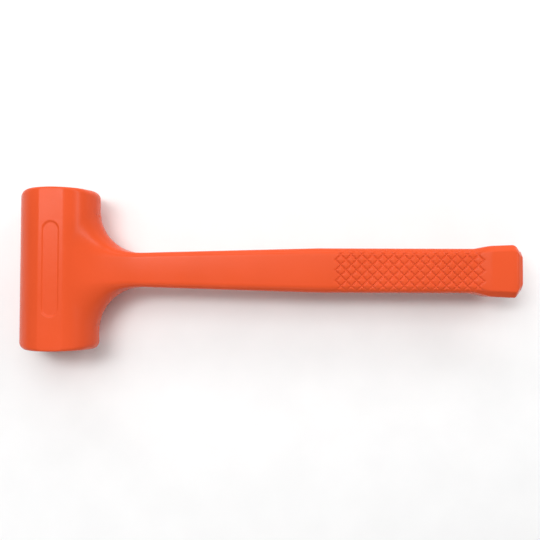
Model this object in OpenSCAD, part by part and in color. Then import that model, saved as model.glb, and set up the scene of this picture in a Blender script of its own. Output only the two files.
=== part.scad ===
// Dead blow mallet: a soft urethane casting moulded over a welded steel skeleton.
// A sealed steel canister inside the head holds loose shot that slides to and fro
// along the striking axis. All sizes are in millimetres.
//
// The mallet lies on its side. X runs along the handle from the head to the butt,
// Y is the striking axis, and Z is up. The origin is the middle of the flat that
// the head rests on, straight below the head's own axis.

/* [Head] */

// Diameter of the round head
head_dia = 50; // [40:0.5:80]
// Length of the head from one striking face to the other
head_length = 102; // [80:1:150]
// Radius of the rim round each striking face
rim_radius = 4.8; // [1:0.1:8]
// Width of the flat that runs along the front and the back of the head
flat_width = 15.5; // [6:0.5:24]
// Width of the sunk panel in the front flat
panel_width = 11; // [4:0.5:20]
// Length of the sunk panel in the front flat
panel_length = 60; // [20:1:80]
// Depth of the sunk panel
panel_depth = 0.5; // [0.2:0.1:1]

/* [Handle] */

// Length of the whole mallet, from the head's far side to the end of the butt
overall_length = 321; // [260:1:420]
// Width of the neck where the head's fillets end
neck_width = 22.2; // [18:0.1:30]
// Width of the grip
grip_width = 28.3; // [22:0.1:36]
// Thickness of the neck and the grip
handle_thick = 22.8; // [18:0.1:30]
// Distance across the rounded edges of the neck
neck_round = 28.6; // [24:0.1:38]
// Distance across the rounded edges of the grip
grip_round = 31.4; // [26:0.1:44]
// Radius of the fillets between the head and the neck, seen from the front
fillet_radius = 28.4; // [15:0.1:40]
// Radius of the long sweep from the front of the head down to the neck
sweep_radius = 92; // [60:1:140]
// Radius of the sweep that takes the corners off the root of the neck
corner_radius = 50; // [30:1:80]
// Distance from the head's axis to where the neck reaches the grip's width
taper_end = 165; // [120:1:200]

/* [Butt] */

// Length of the butt, with the slope that leads up to it
butt_length = 30; // [20:0.5:40]
// Width of the butt at its widest
butt_width = 34.2; // [28:0.1:44]
// Thickness of the butt
butt_thick = 26.6; // [20:0.1:36]
// Length of the slope between the grip and the butt
butt_slope = 9; // [4:0.5:14]
// Cut across each corner of the butt
butt_corner = 5; // [2:0.1:8]
// Bevel along the long edges and round the end face of the butt
butt_bevel = 3.6; // [1:0.1:6]

/* [Grip pattern] */

// Pitch of the diamonds, along and across the grip
diamond_pitch = 6.7; // [5:0.1:10]
// Number of diamonds along the grip
diamond_columns = 14; // [6:1:18]
// Width of the grooves between the diamonds
groove_width = 1.2; // [0.6:0.1:2]
// Depth of the grooves
groove_depth = 0.6; // [0.3:0.1:1.2]
// Distance from the end of the handle to the last full diamond
pattern_end_gap = 25.3; // [20:0.1:60]

/* [Canister] */

// Outside diameter of the steel canister
can_dia = 36; // [28:0.5:42]
// Wall of the canister
can_wall = 2; // [1.5:0.1:4]
// Urethane between the canister and each striking face
face_cushion = 15; // [8:0.5:25]
// Thickness of the end caps
cap_thick = 3; // [2:0.1:6]
// Wall left round an end cap where the canister is bored out for it
seat_wall = 1.2; // [0.8:0.1:2]
// Width of the lip that is rolled over each end cap
lip_width = 2.6; // [1.5:0.1:5]
// Thickness of the rolled lip
lip_thick = 1.5; // [1:0.1:3]
// Depth of the dish pressed into each end cap
dish_depth = 1.2; // [0.4:0.1:2]

/* [Shot] */

// Diameter of one steel ball
ball_dia = 7.6; // [4:0.1:12]
// Gap kept between neighbouring balls
ball_gap = 0.15; // [0.1:0.05:0.5]
// Gap between the charge and the canister's bore
bore_gap = 0.3; // [0.3:0.05:1]
// Number of layers in the charge
shot_layers = 6; // [2:1:6]

/* [Skeleton] */

// Diameter of the steel rod inside the handle
rod_dia = 12; // [8:0.5:16]
// Urethane between the end of the rod and the end of the butt
rod_cover = 22; // [10:1:60]
// Outside diameter of the socket that joins the rod to the canister
socket_dia = 18.5; // [14:0.5:26]
// Distance from the head's axis to the open end of the socket
socket_reach = 42; // [32:0.5:60]
// Reach of the weld along the socket
weld_reach = 4; // [2:0.1:8]
// Height of the weld out from the socket
weld_height = 3.4; // [2:0.1:6]
// Diameter of the pin through the socket and the rod
pin_dia = 4; // [3:0.1:6]
// Diameter of the anchor washer near the end of the rod
washer_dia = 18; // [14:0.5:24]
// Thickness of the anchor washer
washer_thick = 2.5; // [1.5:0.1:5]
// Diameter of the rod's reduced end, which holds the washer
tang_dia = 8; // [5:0.5:10]
// Length of the riveted head that keeps the washer on
rivet_length = 2.5; // [1.5:0.1:5]

/* [View] */

// Sub-part to build

/* [Hidden] */

$fn = 96;
slack = 0.1; // how far a cutting tool runs past the face it cuts
urethane = "OrangeRed";
bare_steel = "Silver";
dark_steel = "DimGray";

// Head
head_r = head_dia / 2;
half_head = head_length / 2;
axis_height = sqrt(head_r * head_r - flat_width * flat_width / 4); // axis above the rest flat

// Handle stations, measured from the head's axis
end_x = overall_length - head_r;
neck_x = head_r + fillet_radius;
half_neck = neck_width / 2;
half_grip = grip_width / 2;
half_thick = handle_thick / 2;
half_butt = butt_width / 2;
half_butt_thick = butt_thick / 2;
butt_draft = 0.8; // how much each side of the butt tapers toward the grip
butt_foot = end_x - butt_length;
butt_top = butt_foot + butt_slope;
root_bite = 0.1; // how far inside the head the long sweep starts
sweep_reach = head_r - root_bite + sweep_radius;
sweep_x = sqrt(pow(sweep_reach, 2) - pow(half_thick + sweep_radius, 2));
sweep_start = (head_r - root_bite) / sweep_reach * [sweep_x, half_thick + sweep_radius];
trim_run = 20; // stretch over which a trim moves clear of the handle
trim_gap = 0.3; // how far the corner trim stays off the neck's rounded edges

// Grip pattern
pattern_x1 = end_x - pattern_end_gap;
pattern_x0 = pattern_x1 - diamond_columns * diamond_pitch;
pattern_rows = 3; // rows of diamonds on each side of the middle row
groove_cut = groove_width / sqrt(2);

// Canister
can_r = can_dia / 2;
bore_r = can_r - can_wall;
seat_r = can_r - seat_wall;
half_can = half_head - face_cushion;
lip_r = seat_r - lip_width;
dish_r = lip_r - 2; // leaves a flat ring between the dish and the lip
seat_y = half_can - lip_thick - cap_thick; // half of the room inside

// Shot
ball_r = ball_dia / 2;
ball_step = ball_dia + ball_gap;
ring_r = bore_r - bore_gap - ball_r;
ring_balls = floor(180 / asin(ball_step / 2 / ring_r)); // as many as fit in the bore
ring_nest = sqrt(pow(ball_step, 2) - pow(2 * ring_r * sin(90 / ring_balls), 2));
core_room = ring_r - sqrt(pow(ball_step, 2) - pow(ring_nest / 2, 2));
core_balls = core_room > ball_step / 2 ? floor(180 / asin(ball_step / 2 / core_room)) : 0;
core_r = core_balls > 0 ? ball_step / 2 / sin(180 / core_balls) : 0;
core_nest = core_balls > 0
    ? sqrt(pow(ball_step, 2) - pow(2 * core_r * sin(90 / core_balls), 2)) : 0;
layer_step = max(ring_nest, core_nest);
charge_half = ((shot_layers - 1) * layer_step + layer_step / 2 + ball_dia) / 2;

// Skeleton
rod_r = rod_dia / 2;
tang_r = tang_dia / 2;
rod_end = end_x - rod_cover;
washer_x = rod_end - rivet_length - washer_thick;
socket_r = socket_dia / 2;
pin_x = (can_r + weld_reach + socket_reach) / 2; // middle of the bare part of the socket
weld_x = sqrt(pow(can_r, 2) - pow(socket_r + weld_height, 2)) - slack;

// Lays a solid drawn on the origin's XY plane along the X axis, at the height of the head's axis
module along_handle(x) {
    translate([x, 0, axis_height]) rotate([0, 90, 0]) children();
}

// Lays a solid drawn along Z along the striking axis, centred on the head's axis
module along_head() {
    translate([0, 0, axis_height]) rotate([-90, 0, 0]) children();
}

// Half section of the head, from its axis outwards, with the rounded rims
module head_section() {
    translate([0, -half_head]) square([head_r - rim_radius, head_length]);
    translate([0, -half_head + rim_radius]) square([head_r, head_length - 2 * rim_radius]);
    for (side = [-1, 1])
        translate([head_r - rim_radius, side * (half_head - rim_radius)]) circle(rim_radius);
}

// Round head with its front and back flats
module head_blank() {
    intersection() {
        along_head() rotate_extrude() head_section();
        translate([-head_r - slack, -half_head - slack, 0])
            cube([head_dia + 2 * slack, head_length + 2 * slack, 2 * axis_height]);
    }
}

// Sunk panel in the front flat, left bare
module panel_cut() {
    run = panel_length - panel_width;
    translate([0, 0, 2 * axis_height - panel_depth]) linear_extrude(panel_depth + slack) {
        square([panel_width, run], center = true);
        for (side = [-1, 1]) translate([0, side * run / 2]) circle(panel_width / 2);
    }
}

// Outline of the handle seen from the front
module front_outline() {
    root = half_neck + fillet_radius;
    difference() {
        for (side = [-1, 1]) polygon([[0, 0], [0, side * root], [head_r, side * root],
            [neck_x, side * half_neck], [taper_end, side * half_grip],
            [butt_foot, side * half_grip], [butt_top, side * (half_butt - butt_draft)],
            [end_x - butt_corner, side * half_butt], [end_x, side * (half_butt - butt_corner)],
            [end_x, 0]]);
        for (side = [-1, 1]) translate([neck_x, side * root]) circle(fillet_radius);
    }
}

// Outline of the handle seen from the side
module side_outline() {
    difference() {
        for (side = [-1, 1]) polygon([[0, 0], [0, side * half_thick],
            [sweep_start.x, side * sweep_start.y], [sweep_x, side * half_thick],
            [butt_foot, side * half_thick], [butt_top, side * half_butt_thick],
            [end_x - butt_bevel, side * half_butt_thick],
            [end_x, side * (half_butt_thick - butt_bevel / 2)], [end_x, 0]]);
        for (side = [-1, 1])
            translate([sweep_x, side * (half_thick + sweep_radius)]) circle(sweep_radius);
    }
}

// Half section that turns the long edges of the neck and the grip round
module edge_round_section() {
    root = half_neck + fillet_radius;
    sweep = root - neck_round / 2;
    difference() {
        polygon([[0, 0], [0, root], [head_r, root], [neck_x, neck_round / 2],
            [taper_end, grip_round / 2], [butt_foot, grip_round / 2], [butt_top, head_r],
            [end_x, head_r], [end_x, 0]]);
        translate([neck_x, root]) circle(sweep);
    }
}

// Outline of the handle seen along a diagonal: it takes the corners off the root and the butt
module diagonal_outline() {
    neck_corner = neck_round / 2 + trim_gap;
    root_corner = neck_corner + corner_radius
        - sqrt(pow(corner_radius, 2) - pow(fillet_radius, 2));
    end_corner = (half_butt + half_butt_thick - butt_bevel) / sqrt(2);
    difference() {
        for (side = [-1, 1]) polygon([[0, 0], [0, side * root_corner],
            [head_r, side * root_corner], [neck_x, side * neck_corner],
            [neck_x + trim_run, side * head_r], [butt_top - trim_run, side * head_r],
            [butt_top, side * end_corner], [end_x, side * end_corner], [end_x, 0]]);
        for (side = [-1, 1])
            translate([neck_x, side * (neck_corner + corner_radius)]) circle(corner_radius);
    }
}

// The whole handle, from inside the head to the butt
module handle_blank() {
    intersection() {
        linear_extrude(2 * axis_height) front_outline();
        translate([0, half_head, axis_height]) rotate([90, 0, 0])
            linear_extrude(head_length) side_outline();
        along_handle(0) rotate_extrude() rotate(90) mirror([0, 1]) edge_round_section();
        intersection_for (turn = [45, 135])
            translate([0, 0, axis_height]) rotate([turn, 0, 0])
                linear_extrude(2 * head_length, center = true) diagonal_outline();
    }
}

// Rows of diamonds seen from above: every second row lies half a pitch along and has one fewer
module diamonds(size) {
    for (row = [-pattern_rows : pattern_rows]) {
        odd = abs(row % 2);
        for (col = [0 : diamond_columns - 1 - odd])
            translate([pattern_x0 + diamond_pitch * (col + (1 + odd) / 2), diamond_pitch / 2 * row])
                rotate(45) square(size / sqrt(2), center = true);
    }
}

// Diamond grooves for one face of the grip
module groove_field() {
    difference() {
        diamonds(diamond_pitch + groove_cut);
        diamonds(diamond_pitch - groove_cut);
    }
}

// Grooves on the front and the back of the grip
module grip_grooves() {
    for (face = [axis_height + half_thick - groove_depth,
            axis_height - half_thick - slack])
        translate([0, 0, face]) linear_extrude(groove_depth + slack) groove_field();
}

// Everything that the urethane flows round
module skeleton_pocket() {
    along_head() cylinder(r = can_r, h = 2 * half_can, center = true);
    along_handle(can_r / 2) cylinder(r = socket_r, h = socket_reach - can_r / 2);
    along_handle(can_r / 2) cylinder(r = rod_r, h = washer_x - can_r / 2);
    along_handle(washer_x) cylinder(d = washer_dia, h = washer_thick);
    along_handle(washer_x) cylinder(r = tang_r, h = washer_thick + rivet_length);
    weld_cone();
}

// Cone of weld metal round the root of the socket, before the canister is taken out of it
module weld_cone() {
    along_handle(weld_x)
        cylinder(r1 = socket_r + weld_height, r2 = socket_r, h = can_r + weld_reach - weld_x);
}

// Orange urethane casting: head, neck, grip and butt in one piece
module cast_body() {
    color(urethane) difference() {
        union() {
            head_blank();
            handle_blank();
        }
        panel_cut();
        grip_grooves();
        skeleton_pocket();
    }
}

// Half section of the canister, with the bored seats and the lips rolled over the caps
module can_section() {
    lip_y = half_can - lip_thick;
    polygon([[bore_r, -seat_y], [seat_r, -seat_y], [seat_r, -lip_y], [lip_r, -lip_y],
        [lip_r, -half_can], [can_r, -half_can], [can_r, half_can], [lip_r, half_can],
        [lip_r, lip_y], [seat_r, lip_y], [seat_r, seat_y], [bore_r, seat_y]]);
}

// Steel tube of the canister
module canister_tube() {
    color(bare_steel) along_head() rotate_extrude() can_section();
}

// Half section of an end cap; its dish faces out, so that the urethane keys into it
module cap_section() {
    polygon([[0, 0], [seat_r, 0], [seat_r, cap_thick], [dish_r, cap_thick],
        [dish_r - dish_depth, cap_thick - dish_depth], [0, cap_thick - dish_depth]]);
}

module end_cap(side) {
    color(dark_steel) translate([0, side * seat_y, axis_height]) rotate([-90 * side, 0, 0])
        rotate_extrude() cap_section();
}

// End cap toward +Y
module upper_cap() {
    end_cap(1);
}

// End cap toward -Y
module lower_cap() {
    end_cap(-1);
}

// Steel socket, coped to sit on the canister and welded to it
module rod_socket() {
    color(dark_steel) difference() {
        along_handle(can_r / 2) cylinder(r = socket_r, h = socket_reach - can_r / 2);
        along_handle(can_r / 2 - slack) cylinder(r = rod_r, h = socket_reach);
        along_head() cylinder(r = can_r, h = 2 * half_can, center = true);
        pin_bore();
    }
}

// Weld bead round the socket's root
module socket_weld() {
    color(bare_steel) difference() {
        weld_cone();
        along_handle(weld_x - slack) cylinder(r = socket_r, h = socket_reach);
        along_head() cylinder(r = can_r, h = 2 * half_can, center = true);
    }
}

// Hole for the cross pin
module pin_bore() {
    translate([pin_x, 0, axis_height])
        cylinder(d = pin_dia, h = socket_dia + 2 * slack, center = true);
}

// Steel rod that stiffens the handle, with a turned-down end for the washer
module handle_rod() {
    color(bare_steel) difference() {
        union() {
            along_handle(can_r / 2) cylinder(r = rod_r, h = washer_x - can_r / 2);
            along_handle(washer_x - slack) cylinder(r = tang_r, h = rod_end - washer_x + slack);
        }
        along_head() cylinder(r = can_r, h = 2 * half_can, center = true);
        pin_bore();
    }
}

// Pin driven through the socket and the rod, ground flush with the socket
module cross_pin() {
    color(dark_steel) intersection() {
        pin_bore();
        along_handle(can_r) cylinder(r = socket_r, h = socket_reach - can_r);
    }
}

// Washer that keeps the rod from pulling out of the urethane
module anchor_washer() {
    color(dark_steel) difference() {
        along_handle(washer_x) cylinder(d = washer_dia, h = washer_thick);
        along_handle(washer_x - slack) cylinder(r = tang_r, h = washer_thick + 2 * slack);
    }
}

// One layer of shot: an outer ring, and an inner ring half a step further on
module shot_layer(layer) {
    y = -charge_half + ball_r + (layer - 1) * layer_step;
    turn = layer % 2;
    color(bare_steel) {
        for (i = [0 : ring_balls - 1])
            translate([0, y, axis_height]) rotate([0, (i + turn / 2) * 360 / ring_balls, 0])
                translate([ring_r, 0, 0]) sphere(ball_r);
        if (core_balls > 0) for (i = [0 : core_balls - 1])
            translate([0, y + layer_step / 2, axis_height])
                rotate([0, (i + turn / 2) * 360 / core_balls, 0])
                translate([core_r, 0, 0]) sphere(ball_r);
    }
}

module shot_layer_1() { shot_layer(1); }
module shot_layer_2() { shot_layer(2); }
module shot_layer_3() { shot_layer(3); }
module shot_layer_4() { shot_layer(4); }
module shot_layer_5() { shot_layer(5); }
module shot_layer_6() { shot_layer(6); }

cast_body();
canister_tube();
upper_cap();
lower_cap();
rod_socket();
socket_weld();
handle_rod();
cross_pin();
anchor_washer();
shot_layer_1();
shot_layer_2();
shot_layer_3();
shot_layer_4();
shot_layer_5();
shot_layer_6();
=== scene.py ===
# %% [markdown]
# # A dead blow mallet
#
# This lesson builds the looks of a one-piece dead blow mallet: an orange urethane casting with a
# steel skeleton inside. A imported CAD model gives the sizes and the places, and is called the
# frame here. Blender adds the skin, the finishes, the light and the camera.
#
# The mallet lies on its side. X runs from the head to the butt of the handle, Y is the striking
# axis and Z is up. Blender works in metres, and this script thinks in millimetres until a mesh
# is made, because that is how a mould drawing is written.

# %% Open the frame
import math

import bmesh
import bpy
import numpy as np
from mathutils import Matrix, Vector


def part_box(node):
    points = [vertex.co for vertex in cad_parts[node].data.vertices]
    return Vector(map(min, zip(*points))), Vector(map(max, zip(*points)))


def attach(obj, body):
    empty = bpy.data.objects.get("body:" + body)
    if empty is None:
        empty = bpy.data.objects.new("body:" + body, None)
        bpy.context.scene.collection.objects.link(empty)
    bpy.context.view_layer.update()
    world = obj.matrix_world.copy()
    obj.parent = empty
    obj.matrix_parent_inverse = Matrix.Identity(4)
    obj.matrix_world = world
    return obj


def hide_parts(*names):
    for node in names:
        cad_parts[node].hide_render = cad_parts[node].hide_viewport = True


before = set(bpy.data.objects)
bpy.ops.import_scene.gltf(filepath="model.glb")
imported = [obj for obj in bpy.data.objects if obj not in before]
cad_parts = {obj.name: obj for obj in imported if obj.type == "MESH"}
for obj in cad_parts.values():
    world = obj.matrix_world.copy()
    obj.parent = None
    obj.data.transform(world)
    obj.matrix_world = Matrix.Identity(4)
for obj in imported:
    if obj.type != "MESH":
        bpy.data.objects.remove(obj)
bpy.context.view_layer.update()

print("nodes:", sorted(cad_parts))

# %% [markdown]
# ## Sizes that the frame already knows
#
# The casting's box gives the big sizes. The head is a round bar with a flat on the front and
# on the back, so its radius is how far the box reaches to -X, and its axis lies halfway up.
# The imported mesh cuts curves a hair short, so the numbers are rounded to a tenth of a millimetre.
# The mould's parting line leaves a trimmed flash that stands proud, so that much is taken off.

# %% Read the casting's box
MM = 0.001
low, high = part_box("cast_body")
seam_height = 0.1
head_r = round(-low.x / MM, 1) - seam_height
half_head = round(high.y / MM, 1) - seam_height
end_x = round(high.x / MM, 1)
axis_z = high.z / MM / 2
flat_half = math.sqrt(head_r ** 2 - axis_z ** 2)
print(f"head {2 * head_r} x {2 * half_head} mm, axis {axis_z:.2f} mm up, butt ends at {end_x} mm")
print(f"each flat on the head is {2 * flat_half:.1f} mm wide")

# %% [markdown]
# ## The camera
#
# The mallet is seen from straight above at arm's length, so the camera hangs over the middle of
# the handle and looks down, tipped by less than two degrees. Making the camera first means that
# every later render can be judged from the same place.

# %% Hang the camera over the handle
camera = bpy.data.objects.new("camera", bpy.data.cameras.new("camera"))
bpy.context.scene.collection.objects.link(camera)
camera.data.lens = 48.93
camera.data.sensor_width = 36
above_axis = 0.475
tip, twist = math.radians(1.71), math.radians(0.19)
camera.location = (0.1355, -0.0138, above_axis + axis_z * MM)
camera.rotation_euler = (tip, 0, twist)
camera.data.clip_start = 0.01
bpy.context.scene.camera = camera
print("camera height above the floor:", round(camera.location.z, 3), "m")

# %% [markdown]
# ## How the handle changes along its length
#
# A handle like this could be lofted between a few drawn sections. Here one formula gives the
# section anywhere, from four sizes that change along X: half the width, half the thickness, the
# cut across each long edge and the radius that softens that cut. Where the radius is 1.707 times
# the cut, the two bends meet and the edge is simply round, as it is on the neck and the grip.
#
# Each size is given at a few stations and runs straight between them. `eased` takes the average
# over a short stretch, which rounds every corner of the run as a mould maker's file would.

# %% Stations of the handle
root_x = 30.0              # where the handle's root is roundest
neck_x = 53.4              # where the head's fillets end
taper_end = 165.0          # where the grip reaches its full width
butt_foot = end_x - 30     # where the slope up to the butt starts
butt_top = butt_foot + 9   # where that slope ends
neck_half = 10.9           # half the width of the neck
grip_half = 14.15          # half the width of the grip
thick_half = 11.4          # half the thickness of the neck and the grip
butt_half = 13.3           # half the thickness of the butt
end_half = 9.0             # half the thickness at the end face
butt_corner = 5.0          # cut across the corners of the butt, seen from the front
butt_bevel = 3.6           # cut along the long edges of the butt
end_bevel = 4.2            # length of the bevel that leads to the end face
ROUND_CUT = 2 - math.sqrt(2)   # cut that goes with an edge radius of one


def eased(x, places, sizes, soft):
    shifts = np.linspace(-soft, soft, 9)
    return np.mean([np.interp(x + shift, places, sizes) for shift in shifts], axis=0)


def half_width(x, side):
    """At the butt the side toward +Y is a little slimmer and softer, from wear."""
    places = [neck_x, taper_end, butt_foot, butt_top, end_x - butt_corner, end_x]
    handle = [neck_half, grip_half, grip_half]
    crisp = eased(x, places, [*handle, 16.3, 17.1, 17.1 - butt_corner], 0.6)
    worn = eased(x, places, [*handle, 15.9, 16.6, 16.6 - butt_corner], 1.8)
    return np.where(side > 0, worn, crisp)


def half_thickness(x):
    places = [butt_foot, butt_top, end_x - end_bevel, end_x]
    return eased(x, places, [thick_half, butt_half, butt_half, end_half], 1.3)


edge_places = [root_x, neck_x, taper_end, butt_foot, butt_top]
edge_radii = [5.2, 3.2, 4.6, 4.6, 1.2]
edge_cuts = [*(radius * ROUND_CUT for radius in edge_radii[:-1]), butt_bevel]
edge_ease = 1.5


def edge_radius(x):
    return eased(x, edge_places, edge_radii, edge_ease)


def edge_cut(x):
    return eased(x, edge_places, edge_cuts, edge_ease)


for station in (neck_x, taper_end, butt_top):
    print(f"x {station:5.1f}: {2 * half_width(station, 1):.1f} wide, "
          f"{2 * half_thickness(station):.1f} thick, edge radius {edge_radius(station):.1f}")

# %% [markdown]
# ## Walking round a section
#
# A quarter of the section is a walk: along the front, round a bend of 45 degrees, along the cut,
# round a second bend, and down the side. `np.clip` says how much of each stretch has been walked,
# so one line of arithmetic places a point that is any share of the way round.
#
# The front and the back are crowned a little, because a flat moulded face looks hollow.

# %% A quarter of the handle's section
CROWN = 0.3   # how much higher the middle of the front is than its edges
HALF_BEND = math.pi / 4


def quarter(x, share, side):
    wide, thick, bend, cut = half_width(x, side), half_thickness(x), edge_radius(x), edge_cut(x)
    tangent = bend * math.tan(HALF_BEND / 2)
    front, arc = wide - cut - tangent, bend * HALF_BEND
    slant, flank = cut * math.sqrt(2) - 2 * tangent, thick - cut - tangent
    walked = share * (front + arc + slant + arc + flank)
    on_front = np.clip(walked, 0, front)
    turn_1 = np.clip(walked - front, 0, arc) / bend
    on_slant = np.clip(walked - front - arc, 0, slant) * math.sqrt(0.5)
    turn_2 = HALF_BEND + np.clip(walked - front - arc - slant, 0, arc) / bend
    on_flank = np.clip(walked - front - 2 * arc - slant, 0, flank)
    y = on_front + on_slant + bend * (np.sin(turn_1) + np.sin(turn_2) - math.sin(HALF_BEND))
    z = thick - on_slant - on_flank
    z = z - bend * (1 - np.cos(turn_1) + math.cos(HALF_BEND) - np.cos(turn_2))
    return y, z * (1 - CROWN / thick * (y / wide) ** 2), walked


mid_grip = np.float64(200)
quarter_end = quarter(mid_grip, 1.0, 1)
print(f"a quarter of the grip's section is {quarter_end[2]:.2f} mm long "
      f"and ends at y {quarter_end[0]:.2f}")

# %% [markdown]
# ## The head and the root of the neck as one field
#
# The root of the neck flares into the head on every side, tightly seen from the front and in a
# long sweep seen from the side. Booleans and a bevel can't blend two radii like that. A field
# can: a function that is negative inside the urethane and positive outside.
#
# The head is a round bar with its rims turned by a radius. The flats are cut after that, so they
# run out with a crisp end, as they do where a cutter has planed a turned bar: the larger of the
# two fields is kept. The rims are tight at the flats. The neck is a box with round edges.

# %% Fields for the head and the neck
rim_radius = 4.8      # round the striking faces
flat_rim = 1.6        # the same rim where it meets the flats
rim_turn = 0.4        # share of the way up to the flats where it starts to tighten
flat_ease = 0.06      # how soft the line is between the flat and the round
seam_width = 0.3      # trimmed flash along the mould's parting line


def rounded_meet(a, b, radius):
    """Where two faces meet in an outside edge of that radius."""
    reach = np.hypot(np.maximum(a + radius, 0), np.maximum(b + radius, 0))
    return np.minimum(np.maximum(a, b) + radius, 0) + reach - radius


def head_field(x, y, z):
    rim = np.interp(np.abs(z), [rim_turn * axis_z, axis_z], [rim_radius, flat_rim])
    bar = rounded_meet(np.hypot(x, z) - head_r, np.abs(y) - half_head, rim)
    flats = np.abs(z) - axis_z
    return (bar + flats + np.sqrt((bar - flats) ** 2 + flat_ease ** 2)) / 2


def neck_field(x, y, z):
    wide, thick, bend = half_width(x, y), half_thickness(x), edge_radius(x)
    height = np.abs(z) / (1 - CROWN / thick * (y / wide) ** 2)
    return rounded_meet(np.abs(y) - wide, height - thick, bend)


print("distance at the head's centre:", round(float(head_field(0.0, 0.0, 0.0)), 2), "mm")

# %% [markdown]
# ## The flare between them
#
# Cut the mallet along the handle's axis at any lean, from the front round to the side. In that
# cut the flare is one hollow arc: it starts level with the neck and ends where it just touches
# the head. Where it starts is known, so its radius follows from the touching. A bisection finds
# it for every degree of lean: the arc's centre must be one radius away from the head.

# %% Radius of the flare at every lean
leans = np.radians(np.arange(0, 91))


def flare_start(lean):
    """The flare runs out a little further along the front than along the sides."""
    return neck_x + 1.1 * np.cos(lean) ** 2


def solve(gap, near, far):
    """Bisection for many unknowns at once: gap is positive at near and negative at far."""
    for _ in range(40):
        middle = (near + far) / 2
        short = gap(middle) > 0
        near, far = np.where(short, middle, near), np.where(short, far, middle)
    return near


def flare_table():
    start, every = flare_start(leans), np.zeros(len(leans))
    neck = solve(lambda q: -neck_field(root_x, q * np.sin(leans), q * np.cos(leans)),
                 every, every + 40)
    spread_out = np.minimum(head_r / np.maximum(np.cos(leans), 0.01), 60)
    q = np.linspace(0, 1, 3000)[:, None] * spread_out
    x = np.sqrt(np.maximum(head_r ** 2 - (q * np.cos(leans)) ** 2, 0))

    def to_head(radius):
        return np.hypot(x - start, q - neck - radius)

    radius = solve(lambda r: to_head(r).min(0) - r, every + 15, every + 140)
    touch = to_head(radius).argmin(0)
    return radius, x[touch, np.arange(len(leans))]


flare_radius, flare_touch = flare_table()
for degrees in (0, 45, 90):
    print(f"lean {degrees}: flare radius {flare_radius[degrees]:.1f} mm, "
          f"meets the head at x {flare_touch[degrees]:.1f}")

# %% [markdown]
# The flare's field moves each point in toward the handle's axis by the arc's height, and asks the
# neck's field there. Where the arc has touched the head, the head's field takes over.

# %% Field of the whole body
def body_field(x, y, z):
    head, lean = head_field(x, y, z), np.arctan2(np.abs(y), np.abs(z))
    radius = np.interp(lean, leans, flare_radius)
    reach = np.clip(flare_start(lean) - x, 0, 0.99 * radius)
    from_axis = np.hypot(y, z)
    lift = radius - np.sqrt(radius ** 2 - reach ** 2)
    pull = np.maximum(from_axis - lift, 0) / np.maximum(from_axis, 1e-6)
    flare = np.where(x > np.interp(lean, leans, flare_touch), neck_field(x, y * pull, z * pull), head)
    return np.minimum(head, flare) - seam_height * np.exp(-(z / seam_width) ** 2)


print("distance in the flare:", round(float(body_field(35.0, 0.0, 10.0)), 2), "mm")

# %% [markdown]
# ## The sunk panel
#
# A long panel with round ends is sunk half a millimetre into the front flat. On the real mallet
# it holds raised letters; here it is left bare. Its wall leans out, as it must for the casting to
# leave the mould, so the depth comes in over a short distance from the outline.

# %% Panel in the front flat
panel_half_width = 5.4
panel_half_length = 29.8
panel_depth = 0.5
panel_wall = 0.9


def panel_sink(x, y, z):
    straight = panel_half_length - panel_half_width
    outside = np.hypot(x, np.maximum(np.abs(y) - straight, 0)) - panel_half_width
    step = np.clip(-outside / panel_wall, 0, 1)
    return np.where(z > 0, panel_depth * step * step * (3 - 2 * step), 0)


def casting_field(x, y, z):
    return body_field(x, y, z) + panel_sink(x, y, z)


print(f"panel {2 * panel_half_width} x {2 * panel_half_length} mm, {panel_depth} mm deep")

# %% [markdown]
# ## A skin over the field
#
# To turn the field into a mesh, space is cut into small cells. Each cell that the surface passes
# through gets one vertex, at the mean of the places where the surface crosses the cell's edges,
# and each crossed edge becomes a face between the four cells round it. This is called surface
# nets. It gives even quads, which shade better than the slivers that a Boolean leaves.
#
# The cells are finer where the detail is: across the panel and at the parting line.

# %% Surface nets
def skin(field, lines):
    value = field(*np.meshgrid(*lines, indexing="ij", sparse=True))
    shape = np.array(value.shape) - 1
    total, count = np.zeros((*shape, 3)), np.zeros(shape)
    crossings = []
    for axis in range(3):
        before = np.take(value, range(shape[axis]), axis)
        after = np.take(value, range(1, shape[axis] + 1), axis)
        crossed = (before < 0) != (after < 0)
        part = np.where(crossed, before / np.where(crossed, before - after, 1), 0)
        spot = [np.broadcast_to(g, part.shape) for g in np.meshgrid(
            *[line[:part.shape[a]] for a, line in enumerate(lines)], indexing="ij", sparse=True)]
        step = np.diff(lines[axis]).reshape([-1 if a == axis else 1 for a in range(3)])
        spot[axis] = spot[axis] + part * step
        spot = np.where(crossed[..., None], np.stack(spot, -1), 0)
        others = [a for a in range(3) if a != axis]
        for shift in ((0, 0), (0, 1), (1, 0), (1, 1)):
            cut = [slice(None)] * 3
            for a, move in zip(others, shift):
                cut[a] = slice(move, move + shape[a])
            total += spot[tuple(cut)]
            count += crossed[tuple(cut)]
        crossings.append((crossed, before < 0))
    cells = np.flatnonzero(count.ravel())
    number = np.full(count.size, -1)
    number[cells] = np.arange(len(cells))
    number = number.reshape(shape)
    points = total.reshape(-1, 3)[cells] / count.ravel()[cells, None]
    faces = [faces_across(axis, *crossings[axis], number) for axis in range(3)]
    return points, np.concatenate(faces)


def faces_across(axis, crossed, outward, number):
    """One quad for every crossed edge along that axis that has four cells round it."""
    first, second = (axis + 1) % 3, (axis + 2) % 3
    inner = [slice(None)] * 3
    inner[first] = inner[second] = slice(1, -1)
    places = np.argwhere(crossed[tuple(inner)])
    outward = outward[tuple(inner)][tuple(places.T)]
    corners = []
    for move in ((0, 0), (1, 0), (1, 1), (0, 1)):
        cell = places.copy()
        cell[:, first] += move[0]
        cell[:, second] += move[1]
        corners.append(number[tuple(cell.T)])
    quads = np.stack(corners, 1)
    return np.where(outward[:, None], quads, quads[:, ::-1])


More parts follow.
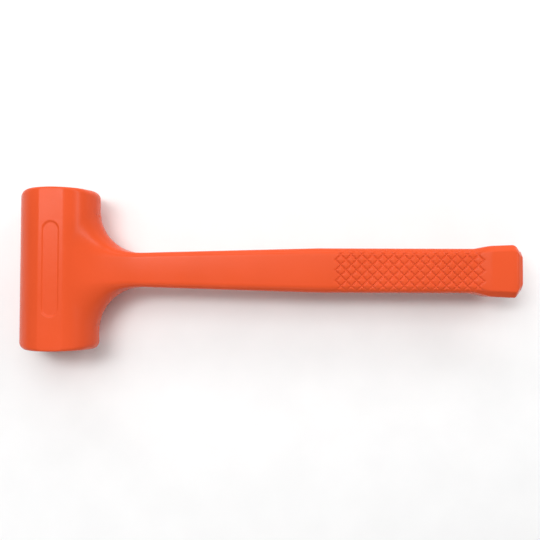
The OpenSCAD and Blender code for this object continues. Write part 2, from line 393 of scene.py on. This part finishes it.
def settle(field, points, free=(1, 1, 1)):
    """Moves each point along the field's slope until the field is zero there."""
    reach = 0.05
    for _ in range(4):
        slope = np.zeros_like(points)
        for axis in range(3):
            step = np.zeros(3)
            step[axis] = reach
            ahead, behind = field(*(points + step).T), field(*(points - step).T)
            slope[:, axis] = (ahead - behind) / (2 * reach) * free[axis]
        value = field(*points.T)
        points = points - (value / np.maximum((slope ** 2).sum(1), 1e-4))[:, None] * slope
    return points


def grid_lines(*runs):
    """Cell boundaries from runs of (start, stop, rough step), the last stop included."""
    parts = [np.linspace(a, b, max(2, round((b - a) / step) + 1))[:-1] for a, b, step in runs]
    return np.concatenate(parts + [[runs[-1][1]]])


join_x = 60.0   # where the head's skin hands over to the handle's rows
lines = [grid_lines((-26, -9, 0.8), (-9, 9, 0.34), (9, join_x, 0.8)),
         grid_lines((-52, -31, 0.8), (-31, -23, 0.4), (-23, 23, 0.8), (23, 31, 0.4), (31, 52, 0.8)),
         grid_lines((-24.6, -0.9, 0.79), (-0.9, 0.9, 0.225), (0.9, 24.6, 0.79))]
head_points, head_faces = skin(casting_field, lines)
print(len(head_points), "vertices in the skin of the head before they settle")

# %% [markdown]
# The skin is open where the handle starts. The last ring of vertices is laid in one plane, and
# only then do all the vertices settle on the field, the ring without leaving its plane.

# %% Settle the skin and flatten its open ring
cell = lines[0][-1] - lines[0][-2]
ring_x = join_x - cell / 2
in_ring = head_points[:, 0] > join_x - 0.999 * cell
head_points[~in_ring] = settle(casting_field, head_points[~in_ring])
head_points[in_ring, 0] = ring_x
head_points[in_ring] = settle(casting_field, head_points[in_ring], free=(0, 1, 1))
error = np.abs(casting_field(*head_points.T)).max()
print(f"{in_ring.sum()} vertices in the open ring, largest error {error:.4f} mm")

# %% [markdown]
# ## The diamonds of the grip
#
# The grip's diamonds lie between two families of V-shaped grooves at 45 degrees. The pattern is
# wrapped round the grip: it is measured along the skin from the middle of the front or the back,
# so it runs over the long edges without stretching, and fades out before the sides. The ends are
# a zigzag, because only whole diamonds are cut.
#
# Grooves this size should be real geometry. They catch light on their far walls and break up the
# edge of the grip, which a bump map can't do.

# %% Depth of the grooves at any place on the skin
pitch = 6.7
columns = 14
pattern_end = end_x - 25.3
pattern_start = pattern_end - columns * pitch
groove_half = 0.7
groove_depth = 0.6
pad_dome = 0.2      # how much higher a diamond is in the middle than at its edges
fade_from, fade_to = 10.6, 13.2


def groove(x, around):
    nearest = np.full(np.broadcast(x, around).shape, np.inf)
    for way in (-1, 1):
        phase = (x - pattern_start + way * around + pitch / 2) % pitch - pitch / 2
        nearest = np.minimum(nearest, np.abs(phase) / math.sqrt(2))
    tip = np.abs((around + pitch / 2) % pitch - pitch / 2)
    begun = (x - pattern_start - tip) / math.sqrt(2) / groove_half + 1
    ended = (pattern_end - x - tip) / math.sqrt(2) / groove_half + 1
    fade = (fade_to - np.abs(around)) / (fade_to - fade_from)
    vee = groove_depth * np.clip(1 - nearest / groove_half, 0, 1)
    dome = pad_dome * np.clip(1 - nearest / (pitch / math.sqrt(8)), 0, 1) ** 2
    return (vee + dome) * np.clip(np.minimum(begun, ended), 0, 1) * np.clip(fade, 0, 1)


print(f"{columns} diamonds of {pitch} mm from x {pattern_start:.1f} to {pattern_end:.1f}")

# %% [markdown]
# ## Rows along the handle
#
# The handle is a grid: rows across it and points round it. In the pattern the steps both ways are
# a sixteenth of a diamond, so a vertex lies exactly on every groove's bottom line. Elsewhere the
# rows are further apart. The last rows turn the edge of the end face and run to its middle.

# %% Points of the handle
fine = pitch / 16
fine_reach = 15.9      # how far round the small steps go
side_points_count = 19
grip_quarter = quarter_end[2]
fine_count = int(fine_reach / fine)
shares = np.concatenate([np.arange(fine_count) * fine,
                         np.linspace(fine_count * fine, grip_quarter, side_points_count)])
shares = shares / grip_quarter
fine_start, fine_stop = pattern_start - pitch / 2, pattern_end + pitch / 4
butt_rows = end_x - 6.5
end_edge = 0.35        # radius of the edge round the end face
rows = grid_lines((ring_x + cell, fine_start, 1.3), (fine_start, fine_stop, fine),
                  (fine_stop, butt_rows, 0.6), (butt_rows, end_x - end_edge, 0.35))


def side_points(x, side, face):
    """A quarter of every row, from the middle of the front or back to the middle of the side."""
    y, z, around = quarter(x[:, None], shares[None, :], side)
    dy, dz = np.gradient(y, axis=1), np.gradient(z, axis=1)
    length = np.hypot(dy, dz)
    normal_y, normal_z = -dz / length, dy / length
    rise = -groove(x[:, None], around)
    rise[:, -1] += seam_height
    y, z = y + rise * normal_y, z + rise * normal_z
    return np.stack([np.broadcast_to(x[:, None], y.shape), side * y, face * z], -1)


def loops_at(x):
    parts = []
    for side, face in ((1, 1), (1, -1), (-1, -1), (-1, 1)):
        part = side_points(x, side, face)
        part = part if side == face else part[:, ::-1]
        parts.append(part[:, :-1])
    return np.concatenate(parts, 1)


handle_loops = loops_at(rows)
last = handle_loops[-1]
print(f"{handle_loops.shape[0]} rows of {handle_loops.shape[1]} points")

# %% [markdown]
# The end face closes the grid. A few more loops, each the last one drawn in toward the axis,
# first turn a small edge and then cross the face to a single vertex in the middle.

# %% Loops over the end face
end_loops = []
for turn in np.radians([30, 60, 90]):
    inset = 1 - end_edge * (1 - math.cos(turn)) / half_thickness(rows[-1])
    loop = last * [1, inset, inset]
    loop[:, 0] = rows[-1] + end_edge * math.sin(turn)
    end_loops.append(loop)
outline = end_loops[-1]
for size in (0.86, 0.7, 0.5, 0.3, 0.12):
    end_loops.append(outline * [1, size, size])
loops = np.concatenate([handle_loops, np.array(end_loops)])
print("end face closed with", len(end_loops), "loops")

# %% [markdown]
# ## One mesh from the two parts
#
# The ring of the head's skin and the first row of the handle have different numbers of vertices.
# They are zipped: going round both by angle, the one whose next vertex comes first makes the next
# triangle. The result is one closed skin, which is what a mould would turn out.

# %% Stitch the skin together
def ordered_ring(points, numbers):
    angle = np.arctan2(points[numbers, 2], points[numbers, 1])
    order = np.argsort(angle)
    return numbers[order], angle[order]


def next_angle(angles, i):
    """Angle of the vertex after number i, counting on past a full turn."""
    turns = 0 if i + 1 < len(angles) else 1
    return angles[(i + 1) % len(angles)] + turns * 2 * math.pi


def zipped(ring_a, angle_a, ring_b, angle_b):
    count_a, count_b = len(ring_a), len(ring_b)
    triangles, i, j = [], 0, 0
    while i < count_a or j < count_b:
        a, b = ring_a[i % count_a], ring_b[j % count_b]
        a_is_next = next_angle(angle_a, i) <= next_angle(angle_b, j)
        if j >= count_b or (i < count_a and a_is_next):
            triangles.append((a, ring_a[(i + 1) % count_a], b))
            i += 1
        else:
            triangles.append((a, ring_b[(j + 1) % count_b], b))
            j += 1
    return triangles


per_loop = loops.shape[1]
points = np.concatenate([head_points, loops.reshape(-1, 3), [[end_x, 0, 0]]])
first_loop = len(head_points)
ring_a, angle_a = ordered_ring(points, np.flatnonzero(in_ring))
ring_b, angle_b = ordered_ring(points, first_loop + np.arange(per_loop))
stitches = zipped(ring_a, angle_a, ring_b, angle_b)

here = first_loop + np.arange((len(loops) - 1) * per_loop).reshape(-1, per_loop)
beside = np.roll(here, -1, axis=1)
grid = np.stack([here, here + per_loop, beside + per_loop, beside], -1)

# %% [markdown]
# A quad that isn't flat has to be cut into two triangles, and Blender picks the cut by length. In
# the pattern the cut must run along the nearest groove, or the groove's bottom turns into a
# zigzag. So the quads of the pattern are cut here, before Blender sees them.

# %% Cut the quads of the pattern along the grooves
across = []
for side, face in ((1, 1), (1, -1), (-1, -1), (-1, 1)):
    part = side * shares * grip_quarter
    across.append((part if side == face else part[::-1])[:-1])
across = np.concatenate(across)
step_across = np.roll(across, -1) - across
mid_x = (loops[:-1, 0, 0] + loops[1:, 0, 0])[:, None] / 2 - pattern_start
mid_across = across + step_across / 2
falling = np.abs((mid_x + mid_across + pitch / 2) % pitch - pitch / 2)
rising = np.abs((mid_x - mid_across + pitch / 2) % pitch - pitch / 2)
along_first = (rising < falling) == (step_across > 0)
along_pattern = (mid_x > -pitch / 2) & (mid_x < pattern_end - pattern_start)
in_pattern = along_pattern & (np.abs(mid_across) < fade_to)
first_cut, second_cut = grid[in_pattern & along_first], grid[in_pattern & ~along_first]
cut_quads = [*first_cut[:, [0, 1, 2]].tolist(), *first_cut[:, [0, 2, 3]].tolist(),
             *second_cut[:, [0, 1, 3]].tolist(), *second_cut[:, [1, 2, 3]].tolist()]
print(len(cut_quads), "triangles in the pattern")

# %% Close the end and gather all faces
middle = len(points) - 1
rim = first_loop + (len(loops) - 1) * per_loop + np.arange(per_loop)
fan = [(a, middle, b) for a, b in zip(rim, np.roll(rim, -1))]
faces = [*head_faces.tolist(), *stitches, *grid[~in_pattern].tolist(), *cut_quads, *fan]
print(len(points), "vertices and", len(faces), "faces")

# %% [markdown]
# ## The pocket for the skeleton
#
# The urethane is poured round a steel skeleton, so the casting is hollow where the steel is. The
# frame's casting already has that pocket as a second, inner skin, and it needs no better looks.
# It is taken over as it is: of the pieces that the frame's mesh falls into, all but the largest.

# %% Casting as one object
casting_mesh = bpy.data.meshes.new("urethane_casting")
shifted = (points + [0, 0, axis_z]) * MM
casting_mesh.from_pydata(shifted.tolist(), [], faces)
skin_mesh = bmesh.new()
skin_mesh.from_mesh(casting_mesh)
bmesh.ops.recalc_face_normals(skin_mesh, faces=skin_mesh.faces)
open_edges = [edge for edge in skin_mesh.edges if len(edge.link_faces) != 2]
volume = skin_mesh.calc_volume(signed=True)
print("edges without two faces:", len(open_edges), " volume:", round(volume * 1e6, 1), "cm3")


def loose_parts(mesh):
    waiting, parts = set(mesh.verts), []
    while waiting:
        part, edge_of_part = set(), [waiting.pop()]
        while edge_of_part:
            vert = edge_of_part.pop()
            part.add(vert)
            for edge in vert.link_edges:
                other = edge.other_vert(vert)
                if other in waiting:
                    waiting.discard(other)
                    edge_of_part.append(other)
        parts.append(part)
    return sorted(parts, key=lambda part: max(v.co.x for v in part) - min(v.co.x for v in part))


pocket = bmesh.new()
pocket.from_mesh(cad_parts["cast_body"].data)
bmesh.ops.remove_doubles(pocket, verts=pocket.verts, dist=1e-6)
parts = loose_parts(pocket)
bmesh.ops.delete(pocket, geom=list(parts[-1]), context="VERTS")
for face in pocket.faces:
    face.material_index = 0
pocket_mesh = bpy.data.meshes.new("pocket")
pocket.to_mesh(pocket_mesh)
print(len(parts) - 1, "pocket with", len(pocket_mesh.polygons), "faces")
skin_mesh.from_mesh(pocket_mesh)
skin_mesh.to_mesh(casting_mesh)
casting_mesh.shade_smooth()
casting = bpy.data.objects.new("urethane_casting", casting_mesh)
bpy.context.scene.collection.objects.link(casting)
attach(casting, "mallet")
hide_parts("cast_body")

# %% [markdown]
# ## Orange urethane
#
# Cast urethane is one colour right through. What makes it look real is small: a tone that
# drifts a little from place to place, a satin surface that is shinier in some patches than in
# others, and a faint orange-peel texture from the mould. Each comes from a noise texture at its
# own scale, in the piece's own coordinates. Urethane reflects less than hard plastic, so the
# specular level is low.

# %% Helpers for materials
def new_material(name):
    material = bpy.data.materials.new(name)
    material.use_nodes = True
    tree = material.node_tree
    return material, tree, tree.nodes["Principled BSDF"]


def noise(tree, scale, detail=2.0, stretch=(1, 1, 1)):
    """Noise in metres: a scale of 1000 gives features about a millimetre across."""
    place = tree.nodes.new("ShaderNodeTexCoord")
    mapping = tree.nodes.new("ShaderNodeMapping")
    mapping.inputs["Scale"].default_value = stretch
    texture = tree.nodes.new("ShaderNodeTexNoise")
    texture.inputs["Scale"].default_value = scale
    texture.inputs["Detail"].default_value = detail
    tree.links.new(place.outputs["Object"], mapping.inputs["Vector"])
    tree.links.new(mapping.outputs["Vector"], texture.inputs["Vector"])
    return texture.outputs["Fac"]


def spread(tree, value, low, high, start=0.35, stop=0.65):
    """Maps the middle of a noise's range to low...high."""
    node = tree.nodes.new("ShaderNodeMapRange")
    node.inputs["From Min"].default_value = start
    node.inputs["From Max"].default_value = stop
    node.inputs["To Min"].default_value = low
    node.inputs["To Max"].default_value = high
    tree.links.new(value, node.inputs["Value"])
    return node.outputs["Result"]


def mix_colours(tree, share, colour_a, colour_b):
    node = tree.nodes.new("ShaderNodeMix")
    node.data_type = "RGBA"
    node.inputs["A"].default_value = (*colour_a, 1)
    node.inputs["B"].default_value = (*colour_b, 1)
    tree.links.new(share, node.inputs["Factor"])
    return node.outputs["Result"]


def bump(tree, shader, height, distance, under=None):
    """Raises the surface by up to that distance, on top of another bump if one is given."""
    node = tree.nodes.new("ShaderNodeBump")
    node.inputs["Distance"].default_value = distance
    node.inputs["Strength"].default_value = 1.0
    tree.links.new(height, node.inputs["Height"])
    if under is not None:
        tree.links.new(under, node.inputs["Normal"])
    tree.links.new(node.outputs["Normal"], shader.inputs["Normal"])
    return node.outputs["Normal"]


# %% Urethane
urethane, tree, shader = new_material("orange_urethane")
tone = spread(tree, noise(tree, 30, 1), 0, 1)
colour = mix_colours(tree, tone, (0.69, 0.083, 0.023), (0.72, 0.088, 0.026))
tree.links.new(colour, shader.inputs["Base Color"])
shine = spread(tree, noise(tree, 90, 1), 0.22, 0.27)
tree.links.new(shine, shader.inputs["Roughness"])
shader.inputs["Specular IOR Level"].default_value = 0.1
peel = bump(tree, shader, noise(tree, 300, 2), 0.00004)
bump(tree, shader, noise(tree, 1300, 2), 0.000006, under=peel)
casting_mesh.materials.clear()
casting_mesh.materials.append(urethane)
print("urethane nodes:", len(tree.nodes))

# %% [markdown]
# ## Steel for the skeleton
#
# Nothing of the skeleton shows from outside, but it is there when the casting is lifted off. Each
# piece keeps its shape from the frame and gets the finish that its making leaves: drawn tube
# has lines along it, a pressed cap is duller, a weld is blued and rippled, shot is polished.

# %% Steel finishes
def steel(name, tint, dull, grain, stretch, depth=0.00002):
    material, tree, shader = new_material(name)
    shader.inputs["Metallic"].default_value = 1.0
    lines_of_grain = noise(tree, grain, 4, stretch)
    dark = tuple(0.78 * part for part in tint)
    clouds = spread(tree, noise(tree, 60, 3), 0, 1)
    tree.links.new(mix_colours(tree, clouds, dark, tint), shader.inputs["Base Color"])
    tree.links.new(spread(tree, lines_of_grain, dull - 0.08, dull + 0.08), shader.inputs["Roughness"])
    bump(tree, shader, lines_of_grain, depth)
    return material


finishes = {
    "canister_tube": steel("drawn_tube", (0.62, 0.62, 0.60), 0.32, 900, (1, 0.05, 1)),
    "upper_cap": steel("pressed_cap", (0.42, 0.42, 0.43), 0.45, 500, (1, 1, 1)),
    "rod_socket": steel("turned_socket", (0.36, 0.36, 0.37), 0.42, 900, (1, 0.08, 0.08)),
    "socket_weld": steel("weld_bead", (0.47, 0.44, 0.46), 0.38, 420, (0.4, 1, 1), 0.0002),
    "handle_rod": steel("drawn_rod", (0.60, 0.60, 0.58), 0.30, 900, (0.04, 1, 1)),
    "cross_pin": steel("ground_pin", (0.55, 0.55, 0.56), 0.22, 1200, (1, 1, 0.1)),
    "anchor_washer": steel("zinc_washer", (0.58, 0.60, 0.62), 0.36, 700, (1, 1, 1)),
    "shot_layer": steel("polished_shot", (0.66, 0.66, 0.66), 0.18, 1500, (1, 1, 1)),
}
finishes["lower_cap"] = finishes["upper_cap"]
for name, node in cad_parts.items():
    finish = finishes.get(name) or (finishes["shot_layer"] if name.startswith("shot_layer") else None)
    if finish:
        for slot in node.material_slots:
            slot.material = finish
print(len(finishes), "finishes for the steel")

# %% [markdown]
# ## Floor and light
#
# The mallet lies on a plain white table under soft light. One big softbox above, toward the
# back left, does most of the work: it lights the front and leaves the near sides darker. A small
# panel under it puts a sheen on the far end of the head. A strip at the right draws a line down
# the round of the head, a strip at the back does the same along the grip, and a weak fill in
# front keeps the near sides from going black.

# %% Table
table_side = 6.0
sheet = bmesh.new()
bmesh.ops.create_grid(sheet, x_segments=8, y_segments=8, size=table_side / 2)
table_mesh = bpy.data.meshes.new("table")
sheet.to_mesh(table_mesh)
table = bpy.data.objects.new("table", table_mesh)
bpy.context.scene.collection.objects.link(table)
table_paint, tree, shader = new_material("white_table")
paper = spread(tree, noise(tree, 30, 3), 0, 1)
tree.links.new(mix_colours(tree, paper, (0.86, 0.86, 0.86), (0.88, 0.88, 0.88)),
               shader.inputs["Base Color"])
shader.inputs["Roughness"].default_value = 0.9
shader.inputs["Specular IOR Level"].default_value = 0.1
table_mesh.materials.append(table_paint)
print("table:", table_side, "m square")

# %% Lights
def softbox(name, place, aim, width, height, watts):
    lamp = bpy.data.lights.new(name, "AREA")
    lamp.shape = "RECTANGLE"
    lamp.size, lamp.size_y, lamp.energy = width, height, watts
    stand = bpy.data.objects.new(name, lamp)
    bpy.context.scene.collection.objects.link(stand)
    stand.location = place
    stand.rotation_euler = (Vector(aim) - Vector(place)).to_track_quat("-Z", "Y").to_euler()
    return stand


softbox("softbox_above", (-0.27, 0.52, 1.3), (-0.27, 0.52, 0.0), 1.56, 0.92, 12.5)
softbox("sheen_panel", (-0.27, 0.29, 1.28), (-0.27, 0.29, 0.0), 0.6, 0.24, 5.4)
softbox("strip_right", (1.1, 0.55, 0.70), (0.0, 0.0, 0.03), 1.2, 0.16, 7.0)
softbox("strip_back", (-0.1, 1.35, 0.75), (0.0, 0.0, 0.03), 1.6, 0.35, 7.5)
softbox("fill_near", (-0.2, -1.1, 0.8), (0.1, 0.0, 0.03), 1.0, 0.6, 3.3)
world = bpy.data.worlds.new("studio")
bpy.context.scene.world = world
world.use_nodes = True
world.node_tree.nodes["Background"].inputs["Color"].default_value = (1, 1, 1, 1)
world.node_tree.nodes["Background"].inputs["Strength"].default_value = 0.16
bpy.context.scene.view_settings.view_transform = "Standard"
